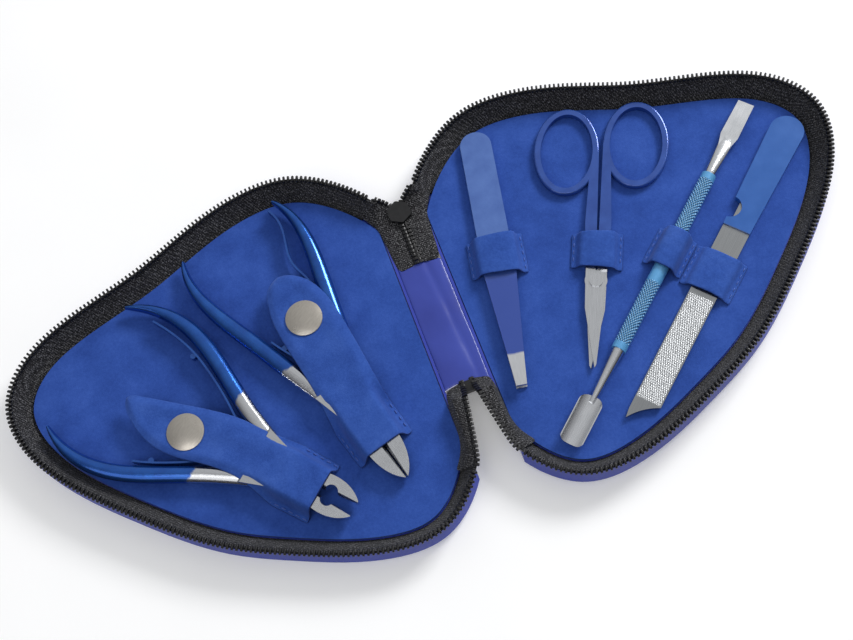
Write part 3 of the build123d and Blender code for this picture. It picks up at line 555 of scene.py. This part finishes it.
def stitches(name, lines, body):
    """Dashes of thread along lines of points, each lying on the leather."""
    end = (len(STITCH_RINGS) - 1) * THREAD_SIDES
    dash = grid_faces(len(STITCH_RINGS), THREAD_SIDES, closed=True)
    dash += [tuple(reversed(range(THREAD_SIDES))), tuple(range(end, end + THREAD_SIDES))]
    vertices, faces = [], []
    for points in lines:
        line = Line(points)
        s = STITCH_GAP / 2
        while s + STITCH < line.length:
            a, b = line.at(s), line.at(s + STITCH)
            along = (b - a).normalized()
            side = along.cross(Vector((0, 0, 1))).normalized()
            up = side.cross(along)
            faces += shifted(dash, len(vertices))
            for t, size, rise in STITCH_RINGS:
                centre = a.lerp(b, t) + up * (rise * THREAD_RADIUS)
                for k in range(THREAD_SIDES):
                    turn = 2 * pi * k / THREAD_SIDES
                    vertices.append(centre + (side * cos(turn) + up * sin(turn)) * THREAD_RADIUS * size)
            s += STITCH + STITCH_GAP
    mesh(name, vertices, faces, thread, body)


# ---------------------------------------------------------------- zip teeth at their real pitch

TOOTH_PITCH = 1.4
NEIGHBOUR = 8.0  # teeth of the CAD's row that are farther apart aren't neighbours
# A tooth's outline as (outward, up), and half its width along the tape at each point of it
TOOTH_PROFILE = [
    (-1.05, -0.62), (-1.05, 0.35), (-0.55, 0.62), (0.5, 0.66), (0.98, 0.3), (0.98, -0.25), (0.55, -0.66),
    (-0.6, -0.66),
]
TOOTH_HALF = [0.36, 0.36, 0.34, 0.34, 0.3, 0.3, 0.34, 0.36]


def tooth_row(node):
    """The centres of the CAD teeth in order along the tape, in millimetres."""
    work = bmesh.new()
    work.from_mesh(nodes[node].data)
    bmesh.ops.remove_doubles(work, verts=work.verts, dist=0.05 * MM)
    seen = set()
    centres = []
    for start in work.verts:
        if start in seen:
            continue
        island, stack = [], [start]
        seen.add(start)
        while stack:
            vert = stack.pop()
            island.append(vert.co)
            for edge in vert.link_edges:
                other = edge.other_vert(vert)
                if other not in seen:
                    seen.add(other)
                    stack.append(other)
        centres.append(sum(island, Vector()) / len(island) / MM)
    work.free()
    # The row starts at the tooth nearest the spine's far end
    order = [min(centres, key=lambda c: abs(c.x) + 100 * (c.y < 0))]
    centres.remove(order[0])
    while centres:
        nearest = min(centres, key=lambda c: (c - order[-1]).length)
        if (nearest - order[-1]).length > NEIGHBOUR:
            order.reverse()
            nearest = min(centres, key=lambda c: (c - order[-1]).length)
            if (nearest - order[-1]).length > NEIGHBOUR:
                break
        centres.remove(nearest)
        order.append(nearest)
    return order


def tooth_shape():
    """One moulded tooth, as (along, outward, up): a waist grips the tape's edge under a rounded head."""
    vertices = [(side * h, out, up) for side in (-1, 1) for (out, up), h in zip(TOOTH_PROFILE, TOOTH_HALF)]
    n = len(TOOTH_PROFILE)
    faces = [tuple(range(n)), tuple(reversed(range(n, 2 * n)))]
    for i in range(n):
        j = (i + 1) % n
        faces.append((i, i + n, j + n, j))
    return vertices, faces


def tooth_piece(name, frames):
    """Teeth as one piece, from each one's place and its directions along, outward and up."""
    shape, shape_faces = tooth_shape()
    vertices, faces = [], []
    for place, along, out, up in frames:
        faces += shifted(shape_faces, len(vertices))
        vertices += [place + along * a + out * o + up * h for a, o, h in shape]
    piece = mesh(name, vertices, faces, tooth_black, None, smooth=False)
    work = bmesh.new()
    work.from_mesh(piece.data)
    bmesh.ops.recalc_face_normals(work, faces=work.faces)
    work.to_mesh(piece.data)
    work.free()
    return piece


def teeth(side):
    """A leaf's teeth, twice as many as in the CAD, on the curve through the CAD's."""
    step = 0.3  # the tape's direction at a tooth is taken this far before and after it
    line = Line(tooth_row(f"{side}_zip_teeth"))
    count = int(line.length / TOOTH_PITCH)
    centre = sum(line.points, Vector()) / len(line.points)
    frames = []
    for k in range(count + 1):
        s = min(line.length - 0.01, k * line.length / count)
        place = line.rounded_at(s)
        ahead = line.rounded_at(min(line.length - 0.001, s + step))
        along = (ahead - line.rounded_at(max(0.0, s - step))).normalized()
        out = Vector((along.y, -along.x, 0))
        if out.dot(place - centre) < 0:
            out = -out
        frames.append((place, along, out, Vector((0, 0, 1))))
    piece = tooth_piece(f"{side}_teeth_row", frames)
    bevel(piece, 0.09, 1, 25)
    settle(piece)
    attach(piece, f"{side}_leaf")
    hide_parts(f"{side}_zip_teeth")


for side in ("left", "right"):
    teeth(side)


def teeth_along(name, points, outward, pitch=1.35, size=0.8):
    """Teeth along a line of points, their heads pointing outward; size is their share of a leaf's tooth."""
    widen = 1.15  # along the line
    line = Line(points)
    frames = []
    for k in range(int(line.length / pitch)):
        s = (k + 0.5) * pitch
        i, _ = line.locate(s)
        along = (line.points[i + 1] - line.points[i]).normalized()
        out = (Vector(outward) - along * along.dot(Vector(outward))).normalized()
        up = along.cross(out)
        up *= 1 if up.z > 0 else -1
        frames.append((line.at(s), along * widen, out * size, up * size))
    return tooth_piece(name, frames)


# ---------------------------------------------------------------- the zip's tape between the leaves
TAPE_THICK = 0.45
# Rows across the tape, each from the teeth line to the lining's edge, on the right leaf's side
FAR_WEB = [
    [(0.7, 19.6, 4.0), (2.6, 19.4, 4.1), (5.0, 19.2, 4.0), (6.9, 19.0, 3.5)],
    [(0.7, 25.0, 4.45), (2.8, 25.0, 4.4), (5.4, 25.0, 4.2), (7.5, 25.0, 3.4)],
    [(0.7, 31.0, 4.5), (3.0, 31.0, 4.4), (5.7, 31.0, 4.4), (7.95, 31.0, 3.4)],
    [(0.8, 36.0, 4.5), (3.1, 36.0, 4.35), (6.0, 35.8, 4.6), (8.3, 35.4, 3.4)],
    [(1.1, 39.6, 4.6), (3.3, 39.2, 4.45), (6.6, 38.6, 5.0), (9.2, 37.4, 3.4)],
    [(1.9, 41.6, 5.3), (4.1, 41.1, 5.5), (7.4, 40.2, 5.4), (10.2, 39.0, 3.4)],
    [(3.6, 42.6, 6.9), (5.4, 42.1, 6.7), (8.3, 41.3, 5.5), (11.0, 40.4, 3.4)],
    [(5.4, 43.5, 8.5), (6.9, 43.0, 7.6), (9.0, 42.5, 5.6), (11.5, 41.4, 3.3)],
    [(6.5, 44.6, 9.0), (7.7, 44.0, 7.9), (9.6, 43.2, 5.9), (12.0, 42.2, 3.3)],
]
NEAR_WEB = [
    [(1.5, -20.9, 4.0), (3.4, -21.4, 3.9), (5.4, -21.8, 3.7), (7.0, -22.2, 3.3)],
    [(1.6, -23.2, 4.6), (3.6, -23.6, 4.8), (5.6, -24.0, 4.7), (7.6, -24.4, 3.4)],
    [(1.9, -25.4, 6.4), (4.0, -25.6, 7.0), (6.0, -25.8, 6.9), (7.9, -26.0, 3.5)],
    [(2.3, -27.6, 8.4), (4.3, -27.6, 8.9), (6.4, -27.6, 9.0), (8.0, -28.0, 3.5)],
    [(2.9, -31.5, 9.0), (4.7, -31.5, 9.2), (6.6, -31.5, 9.0), (8.1, -32.0, 3.5)],
    [(3.7, -36.5, 9.1), (5.2, -36.5, 9.2), (6.9, -36.5, 8.9), (8.2, -37.0, 3.5)],
    [(4.6, -41.5, 9.1), (5.9, -41.5, 9.2), (7.4, -41.3, 8.6), (9.4, -41.0, 3.4)],
    [(5.5, -46.0, 9.1), (6.6, -45.8, 9.1), (8.4, -45.0, 7.9), (11.4, -44.0, 3.4)],
    [(6.9, -49.0, 8.9), (7.9, -48.4, 8.5), (9.8, -47.4, 7.2), (13.2, -46.2, 3.4)],
]


def web(name, rows, side, start, end, replaced):
    """One leaf's tape where it leaves the leaf and runs to the spine, with its teeth.

    start and end are given for the right leaf and are not used.
    """
    mirror = 1 if side == "right" else -1
    skin = [[(mirror * x, y, z) for x, y, z in row] for row in rows]
    piece = leather(f"{side}_{name}", skin, TAPE_THICK, tape, None, subdivide=2)
    line = [Vector(row[0]) + Vector((0, 0, 0.1)) for row in skin]
    row_teeth = teeth_along(f"{side}_{name}_teeth", line, (-mirror, 0, 0.15))
    start, end = ((mirror * x * MM, y * MM, z * MM) for x, y, z in (start, end))
    for part in (piece, row_teeth):
        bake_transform(part)
    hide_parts(replaced)


for side in ("left", "right"):
    web("far_tape", FAR_WEB, side, (2.0, 38.0, 4.0), (5.5, 42.0, 4.0), "far_gusset")
    web("near_tape", NEAR_WEB, side, (5.0, -22.5, 4.0), (5.0, -26.5, 4.0), "near_gusset")
for side, column in (("left", -1), ("right", 1)):
    x, shift = 0.42 * column, 0.4 * column
    places = [(x, 20.0 + shift, 4.5), (x, 40.0 + shift, 4.7)]
    chain = teeth_along(f"closed_chain_{side}", places, (-column, 0, 0), pitch=1.25, size=0.55)
    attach(chain, "spine")
    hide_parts("closed_zip_chain")


def spine_skin():
    """The glossy strip between the leaves: crowned and creased, with cut edges at a slant."""
    half, across, along = 7.1, 15, 40
    top = []
    for i in range(along):
        t = i / (along - 1)
        row = []
        for j in range(across):
            w = 2 * j / (across - 1) - 1
            x = w * half
            near = -21.6 - 1.4 * w * w - 0.9 * w
            far = 21.6 - 2.2 * w
            y = near + (far - near) * t
            crown = 0.55 * (1 - w * w)
            fold = 0.12 * sin(0.35 * y + 1.6 * w + 0.6) + 0.16 * sin(0.16 * y - 2.2 * w + 2.0)
            crease = -0.45 * exp(-(((x - 3.2 + 0.06 * y) / 0.9) ** 2))
            row.append((x, y, LINING_TOP + 0.1 + crown + (fold + crease) * sqrt(1 - w * w)))
        top.append(row)
    piece = leather("spine_skin", top, 0.6, vinyl_spine, "spine")
    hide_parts("spine_strip")
    sides = 6
    vertices = []
    for p in top[0]:
        for k in range(sides):
            turn = 2 * pi * k / sides
            vertices.append(Vector(p) + Vector((0, 0.16 * cos(turn) - 0.1, 0.3 * sin(turn) + 0.05)))
    pale_edge = moulded("cut_vinyl_edge", (0.42, 0.42, 0.56), rough=0.5)
    mesh("spine_cut_edge", vertices, grid_faces(across, sides, closed=True), pale_edge, "spine")


spine_skin()

# ---------------------------------------------------------------- stitched leather

LEATHER = 0.8  # its thickness
STRAP_FOOT = 1.6  # how far a strap lies flat beside its tool
STRAP_WRINKLE = 0.12
TONGUE_TOP = 6.52  # height of the flaps over the lining
SLEEVE_ARCH = 6.5  # height of the sleeves' arch over their feet
SNAP_REACH = 5.3  # a flap is pressed down within this radius of its snap


def lerp_table(table, x):
    """Reads a table of (x, value) pairs at x, with straight lines between them."""
    for (x0, y0), (x1, y1) in zip(table, table[1:]):
        if x <= x1:
            return y0 + (y1 - y0) * max(0.0, (x - x0) / (x1 - x0))
    return table[-1][1]


def smooth_table(points):
    """A finer table through points given as (x, value), rounded by a Catmull-Rom curve."""
    steps = 60 // len(points) + 1
    fine = []
    for i in range(len(points) - 1):
        p = around(points, i)
        for k in range(steps):
            fine.append(tuple(catmull_rom([q[n] for q in p], k / steps) for n in (0, 1)))
    fine.append(points[-1])
    return fine


def strap(name, tool, u0, u1, half, height, node, seed, crown=0.35):
    """A strap bridged over a tool: feet flat on the lining, soft shoulders, stitches along each foot."""
    phases = np.random.default_rng(seed).uniform(0, 2 * pi, 3)
    reach = half + STRAP_FOOT
    profile = [
        (-reach, 0.0), (-(half + STRAP_FOOT * 0.45), 0.05), (-(half + 0.15), 0.25),
        (-(half - 0.35), 0.3 * height), (-(half - 0.9), 0.72 * height), (-(half - 1.7), 0.94 * height),
        (-(half - 3.0), height), (-0.33 * half, height + crown * 0.8), (0.0, height + crown),
    ]
    profile += [(-v, z) for v, z in reversed(profile[:-1])]
    rows, top = 17, []
    for i in range(rows):
        t = i / (rows - 1)
        u = u0 + (u1 - u0) * t
        to_edge = abs(2 * t - 1) ** 4
        outward = to_edge if t > 0.5 else -to_edge
        row = []
        for v, z in profile:
            lift = z / height
            wave = sin(1.3 * u + 0.9 * v + phases[0]) * 0.6 + sin(2.1 * u - 0.7 * v + phases[1]) * 0.4
            ripple = STRAP_WRINKLE * lift * wave
            bow = 0.25 * sin(pi * (v / reach + 1) / 2 + phases[2]) * outward
            row.append(tool.at(u + bow, v, LEATHER + z + ripple - 0.12 * lift * to_edge))
        top.append(row)
    piece = leather(name, top, LEATHER - 0.12, suede_strap, "right_leaf", rim=shaded_suede_rim)
    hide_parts(node)
    lines = []
    for v in (-(half + STRAP_FOOT * 0.5), half + STRAP_FOOT * 0.5):
        lines.append([tool.at(u0 + 0.5, v, LEATHER + 0.1), tool.at(u1 - 0.5, v, LEATHER + 0.1)])
    stitches(f"{name}_stitches", lines, "right_leaf")


strap("tweezers_strap", tweezers, 37.5, 50.5, 7.3, 3.95, "tweezers_loop", 2)
strap("scissors_strap", scissors, -16.2, -4.2, 6.3, 2.75, "scissors_loop", 3)
strap("pusher_strap", pusher, 49.7, 62.7, 4.7, 5.15, "pusher_loop", 4, crown=0.15)
strap("file_strap", file, 51.6, 65.6, 6.6, 2.3, "file_loop", 5)


def tongue(name, tool, outline_low, outline_high, sleeve, snap_at, replaced, bumps, seed):
    """Sleeve and flap cut from one piece of suede: the tongue lies over the handles, the sleeve over the jaws.

    outline_low and outline_high give the two side edges as (u, v) from the tongue's end to the sleeve's front.
    sleeve gives the arch's back and front as (u, half width). bumps are the ridges that the handles make under
    the tongue, each as its place across at u = 0, its slope, its width and its height.
    """
    phases = np.random.default_rng(seed).uniform(0, 2 * pi, 3)
    low, high = smooth_table(outline_low), smooth_table(outline_high)
    (back_u, back_half), (front_u, front_half) = sleeve
    u_end = outline_low[0][0]
    reach = back_u - u_end

    def forward(u):
        """How far u is along the sleeve, from 0 at its back to 1 at its front."""
        return max(0.0, (u - back_u) / (front_u - back_u))

    def arch_half(u):
        return back_half + (front_half - back_half) * forward(u)

    def tongue_height(u, v, to_side):
        drape = -0.8 * (1 - smoothstep(to_side / 2.6)) * (1 - smoothstep((u - back_u + 12) / 10) * 0.35)
        from_end = smoothstep((u - u_end) / 3.0)
        snap_away = sqrt((u - snap_at[0]) ** 2 + (v - snap_at[1]) ** 2)
        dimple = -0.35 * (1 - smoothstep((snap_away - SNAP_REACH) / 3.0))
        ridge = 0.0
        for centre, slope, width, lift in bumps:
            distance = (v - (centre + slope * u)) / width
            ridge += lift * sin(pi * min(1.0, max(0.0, (back_u - u) / reach))) * exp(-distance * distance)
        ripple = 0.14 * (sin(0.55 * u + 0.5 * v + phases[0]) + 0.6 * sin(0.9 * v - 0.35 * u + phases[1]))
        return TONGUE_TOP + drape - 1.1 * (1 - from_end) + dimple + ridge + ripple * from_end

    def sleeve_height(u, v):
        half = arch_half(u)
        lift = smoothstep((half + 0.35 - abs(v)) / 1.6)
        crown = 0.25 * cos(pi * min(1.0, abs(v) / half) / 2)
        ripple = 0.1 * sin(1.1 * u + 0.8 * v + phases[2]) * lift
        return LEATHER + SLEEVE_ARCH * lift + crown + ripple - 0.5 * smoothstep(forward(u)) * lift

    tongue_rows, sleeve_rows, columns = 15, 9, 21
    stations = [u_end + reach * (i / (tongue_rows - 1)) ** 1.6 for i in range(tongue_rows)]
    stations += [back_u + (front_u - back_u) * i / sleeve_rows for i in range(1, sleeve_rows + 1)]
    top = []
    for u in stations:
        v0, v1 = lerp_table(low, u), lerp_table(high, u)
        row = []
        for j in range(columns):
            t = j / (columns - 1)
            v = v0 + (v1 - v0) * t
            w = smoothstep((u - back_u + 3.5) / 4.0)
            z = tongue_height(u, v, min(t, 1 - t) * abs(v1 - v0)) * (1 - w) + sleeve_height(u, v) * w
            row.append(tool.at(u, v, z))
        top.append(row)
    piece = leather(name, top, LEATHER - 0.1, suede_strap, None, rim=shaded_suede_rim)
    start = tool.at(back_u + 0.5, 0, SLEEVE_ARCH) * MM
    end = tool.at(back_u - 3.5, 0, SLEEVE_ARCH) * MM
    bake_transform(piece)
    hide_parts(*replaced)
    lines = []
    for side in (-1, 1):
        line = []
        for k in range(12):
            u = back_u - 1.0 + (front_u - back_u + 0.6) * k / 11
            line.append(tool.at(u, side * (arch_half(u) + 1.25), LEATHER + 0.12))
        lines.append(line)
    stitches(f"{name}_stitches", lines, "left_leaf")


tongue(
    "nipper_a_tongue", nipper_a,
    [
        (-51.9, 3.9), (-51.0, 0.6), (-48.9, -1.8), (-44, -4.2), (-37.7, -5.9), (-28, -6.7), (-19.4, -7.0),
        (-10, -7.8), (-4, -8.8), (0, -9.7), (6.5, -9.6), (13, -9.4),
    ],
    [
        (-51.9, 3.9), (-50.8, 6.6), (-46.2, 10.6), (-41, 12.6), (-35, 13.2), (-24, 12.4), (-14, 11.2),
        (-8, 10.4), (-3.7, 9.9), (0, 9.7), (6.5, 9.6), (13, 9.4),
    ],
    ((0, 7.6), (13, 7.4)), (-34.5, 3.1), ("nipper_a_flap", "nipper_a_sleeve"),
    ((-3.5, 0.2, 2.2, 0.35), (6.0, -0.08, 2.4, 0.3)), 11,
)
tongue(
    "nipper_b_tongue", nipper_b,
    [
        (-56.6, -2.9), (-55.2, -5.4), (-49, -9.4), (-40.9, -12), (-32.3, -11.7), (-22, -9), (-12, -7.9),
        (-6, -9.0), (-2, -10.0), (4, -9.9), (11.5, -9.7),
    ],
    [
        (-56.6, -2.9), (-55.4, -1.4), (-43, 2.3), (-31, 5.8), (-21, 7.9), (-12, 7.9), (-6, 9.0), (-2, 10.0),
        (4, 9.9), (11.5, 9.7),
    ],
    ((-2, 8.0), (11.5, 7.7)), (-33.5, -3.7), ("nipper_b_flap", "nipper_b_sleeve"),
    ((-6.0, 0.1, 2.4, 0.3), (3.0, 0.05, 2.2, 0.3)), 12,
)

WIDE_EDGE = 0.4  # rounded edges from this width up get a third segment
EDGES = {
    0.9: ("left_lining", "right_lining"),
    0.5: ("left_cover", "right_cover", "scissors_upper_half", "scissors_lower_half"),
    0.45: ("file_handle",),
    0.3: ("zip_slider", "tweezers_upper_arm", "bottom_stop"),
    0.25: ("tweezers_lower_arm",),
    0.2: ("zip_pull_tab", "file_blade"),
    0.15: (
        "nipper_a_snap_cap", "nipper_b_snap_cap", "nipper_a_upper_half", "nipper_a_lower_half",
        "nipper_b_upper_half", "nipper_b_lower_half",
    ),
    0.12: ("pusher_blade", "pusher_spoon"),
}
for width, names in EDGES.items():
    for name in names:
        bevel(nodes[name], width, 2 if width < WIDE_EDGE else 3)

# ---------------------------------------------------------------- stage, light and camera

TABLE_HALF = 3.0
corners = [(x * TABLE_HALF, y * TABLE_HALF, 0) for x, y in ((-1, -1), (1, -1), (1, 1), (-1, 1))]
floor = bpy.data.meshes.new("table")
floor.from_pydata(corners, [], [(0, 1, 2, 3)])
table = bpy.data.objects.new("table", floor)
bpy.context.scene.collection.objects.link(table)
table.location.z = -0.2 * MM  # just under the case
pale = Shader("table_white")
pale.color(pale.ramp(pale.noise(60.0, 2.0), [(0.3, (0.88, 0.88, 0.88)), (0.7, (0.91, 0.91, 0.91))]))
pale.put(Roughness=0.6, Specular_IOR_Level=0.2, Emission_Color=(1, 1, 1, 1))
seen = pale.new("ShaderNodeLightPath").outputs
glow = pale.math("ADD", seen["Is Camera Ray"], seen["Is Glossy Ray"], clamp=True)
pale.drive(Emission_Strength=pale.math("MULTIPLY", glow, 0.16))
floor.materials.append(pale.material)

# The world is brighter towards the key light, so polished steel has something to mirror
world = bpy.data.worlds.new("studio")
bpy.context.scene.world = world
world.use_nodes = True
world_nodes, world_links = world.node_tree.nodes, world.node_tree.links
sky = world_nodes["Background"]
compass = world_nodes.new("ShaderNodeTexCoord")
tilt = world_nodes.new("ShaderNodeVectorMath")
tilt.operation = "DOT_PRODUCT"
tilt.inputs[1].default_value = (0.35, 0.60, 0.72)
shade = world_nodes.new("ShaderNodeValToRGB")
stops = ((0.05, (0.14, 0.14, 0.15, 1)), (0.95, (0.62, 0.63, 0.64, 1)))
for element, (place, color) in zip(shade.color_ramp.elements, stops):
    element.position = place
    element.color = color
world_links.new(compass.outputs["Generated"], tilt.inputs[0])
world_links.new(tilt.outputs["Value"], shade.inputs["Fac"])
world_links.new(shade.outputs["Color"], sky.inputs["Color"])
sky.inputs["Strength"].default_value = 1.0


def softbox(name, place, target, size, power):
    light = bpy.data.lights.new(name, "AREA")
    light.shape = "RECTANGLE"
    light.size, light.size_y = size
    light.energy = power
    holder = bpy.data.objects.new(name, light)
    bpy.context.scene.collection.objects.link(holder)
    holder.location = place
    holder.rotation_euler = (Vector(target) - Vector(place)).to_track_quat("-Z", "Y").to_euler()


softbox("key", (0.76, 0.42, 0.60), (0, 0, 0), (0.36, 0.30), 7.6)
softbox("fill", (-0.6, -0.35, 0.6), (0, 0, 0), (0.5, 0.5), 0.9)
softbox("top", (-0.15, -0.35, 1.05), (0, 0, 0), (0.9, 0.45), 2.2)

AZIMUTH, ELEVATION, ROLL = radians(-4.28), radians(68.01), radians(-16.97)
DISTANCE = 0.3781
TARGET = Vector((-4.28, MIDDLE_Y, 0)) * MM
back = Vector((sin(AZIMUTH) * cos(ELEVATION), -cos(AZIMUTH) * cos(ELEVATION), sin(ELEVATION)))
right = Vector((cos(AZIMUTH), sin(AZIMUTH), 0))
up = back.cross(right)
camera_x = right * cos(ROLL) + up * sin(ROLL)
camera_y = up * cos(ROLL) - right * sin(ROLL)
lens = bpy.data.cameras.new("camera")
lens.lens = 51.8
lens.sensor_width = 36.0
camera = bpy.data.objects.new("camera", lens)
bpy.context.scene.collection.objects.link(camera)
axes = zip(camera_x, camera_y, back)
camera.matrix_world = Matrix(
    [(*row, place) for row, place in zip(axes, TARGET + back * DISTANCE)] + [(0, 0, 0, 1)]
)
bpy.context.scene.camera = camera
bpy.context.scene.view_settings.view_transform = "Standard"
